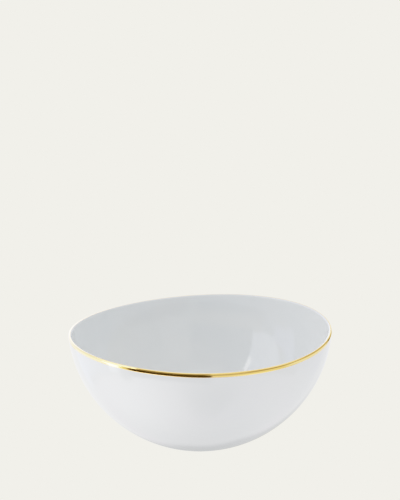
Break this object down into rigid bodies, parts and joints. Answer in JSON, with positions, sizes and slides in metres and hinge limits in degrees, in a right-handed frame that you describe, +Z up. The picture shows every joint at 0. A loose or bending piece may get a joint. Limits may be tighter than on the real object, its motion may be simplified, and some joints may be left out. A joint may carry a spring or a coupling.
{
  "type": "serving bowl",
  "caption": "Deep round glazed porcelain serving bowl with a gently uneven gilded lip and a small foot ring.",
  "frame": {"origin": "centre of the foot ring's resting plane", "axes": "+Z up, along the axis the bowl is turned about; +X towards the highest place on the lip; the bowl mirrors across the X-Z plane"},
  "size_m": [0.2594, 0.2584, 0.1196],
  "materials": {
    "porcelain": "matte",
    "glaze": "gloss",
    "gold": "polished"
  },
  "bodies": {
    "root": {"bowl_body": "porcelain", "glaze_coat": "glaze", "foot_well_glaze": "glaze", "rim_gold_band": "gold"}
  },
  "joints": []
}
